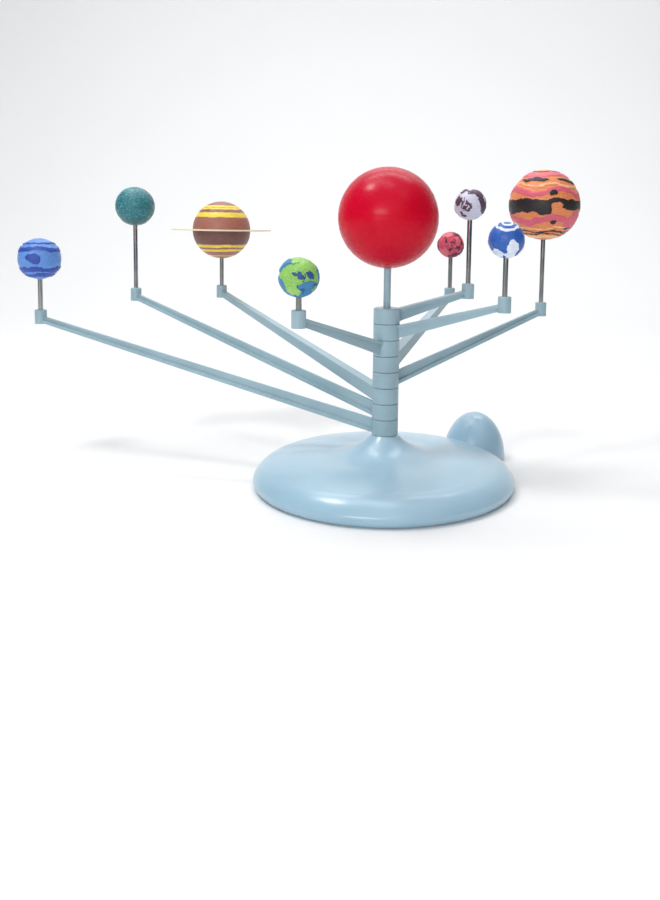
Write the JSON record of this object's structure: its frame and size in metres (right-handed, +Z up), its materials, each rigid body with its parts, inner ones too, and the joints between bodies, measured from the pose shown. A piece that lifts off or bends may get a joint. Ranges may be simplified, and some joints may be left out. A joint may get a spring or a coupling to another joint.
{
  "type": "orrery",
  "caption": "Toy orrery: round stand with a spindle of stacked collars, tapering arms with steel rods that carry painted planet balls around a red Sun.",
  "frame": {"origin": "centre of the resting face under the stand, on the spindle's axis", "axes": "+Z up along the spindle; +X to the viewer's right along the longest side, with the rear dome at +X +Y; -Y is the front"},
  "size_m": [0.4406, 0.2954, 0.2295],
  "materials": {
    "stand_plastic": "glossy moulded plastic, pale blue-grey",
    "arm_plastic": "satin moulded plastic, pale blue-grey",
    "cover_plastic": "matt moulded plastic, pale blue-grey",
    "rod_steel": "polished steel",
    "screw_steel": "plated steel",
    "sun_paint": "red poster paint, satin",
    "mercury_paint": "white and dark violet patches, hand painted",
    "venus_paint": "blue with white clouds, hand painted",
    "earth_paint": "blue sea and green land, hand painted",
    "mars_paint": "pink red with dark spots, hand painted",
    "jupiter_paint": "orange with pink and black bands, hand painted",
    "saturn_paint": "brown with yellow bands, hand painted",
    "uranus_paint": "teal, rough paint",
    "neptune_paint": "light and dark blue bands, hand painted",
    "ring_paint": "cream card-like plastic"
  },
  "bodies": {
    "stand": {"base_shell": "stand_plastic", "base_plate": "cover_plastic", "base_screws": "screw_steel", "spindle": "arm_plastic", "sun_rod": "arm_plastic", "sun_upper_shell": "sun_paint", "sun_lower_shell": "sun_paint"},
    "mercury": {"mercury_arm": "arm_plastic", "mercury_rod": "rod_steel", "mercury_upper_shell": "mercury_paint", "mercury_lower_shell": "mercury_paint"},
    "venus": {"venus_arm": "arm_plastic", "venus_rod": "rod_steel", "venus_upper_shell": "venus_paint", "venus_lower_shell": "venus_paint"},
    "earth": {"earth_arm": "arm_plastic", "earth_rod": "rod_steel", "earth_upper_shell": "earth_paint", "earth_lower_shell": "earth_paint"},
    "mars": {"mars_arm": "arm_plastic", "mars_rod": "rod_steel", "mars_upper_shell": "mars_paint", "mars_lower_shell": "mars_paint"},
    "jupiter": {"jupiter_arm": "arm_plastic", "jupiter_rod": "rod_steel", "jupiter_upper_shell": "jupiter_paint", "jupiter_lower_shell": "jupiter_paint"},
    "saturn": {"saturn_arm": "arm_plastic", "saturn_rod": "rod_steel", "saturn_upper_shell": "saturn_paint", "saturn_lower_shell": "saturn_paint", "saturn_ring": "ring_paint"},
    "uranus": {"uranus_arm": "arm_plastic", "uranus_rod": "rod_steel", "uranus_upper_shell": "uranus_paint", "uranus_lower_shell": "uranus_paint"},
    "neptune": {"neptune_arm": "arm_plastic", "neptune_rod": "rod_steel", "neptune_upper_shell": "neptune_paint", "neptune_lower_shell": "neptune_paint"}
  },
  "joints": [
    {"name": "mercury_orbit", "type": "hinge", "parent": "stand", "child": "mercury", "pos_m": [0, 0, 0.05], "axis": [0, 0, 1], "continuous": true},
    {"name": "venus_orbit", "type": "hinge", "parent": "stand", "child": "venus", "pos_m": [0, 0, 0.05], "axis": [0, 0, 1], "continuous": true},
    {"name": "earth_orbit", "type": "hinge", "parent": "stand", "child": "earth", "pos_m": [0, 0, 0.05], "axis": [0, 0, 1], "continuous": true},
    {"name": "mars_orbit", "type": "hinge", "parent": "stand", "child": "mars", "pos_m": [0, 0, 0.05], "axis": [0, 0, 1], "continuous": true},
    {"name": "jupiter_orbit", "type": "hinge", "parent": "stand", "child": "jupiter", "pos_m": [0, 0, 0.05], "axis": [0, 0, 1], "continuous": true},
    {"name": "saturn_orbit", "type": "hinge", "parent": "stand", "child": "saturn", "pos_m": [0, 0, 0.05], "axis": [0, 0, 1], "continuous": true},
    {"name": "uranus_orbit", "type": "hinge", "parent": "stand", "child": "uranus", "pos_m": [0, 0, 0.05], "axis": [0, 0, 1], "continuous": true},
    {"name": "neptune_orbit", "type": "hinge", "parent": "stand", "child": "neptune", "pos_m": [0, 0, 0.05], "axis": [0, 0, 1], "continuous": true}
  ]
}
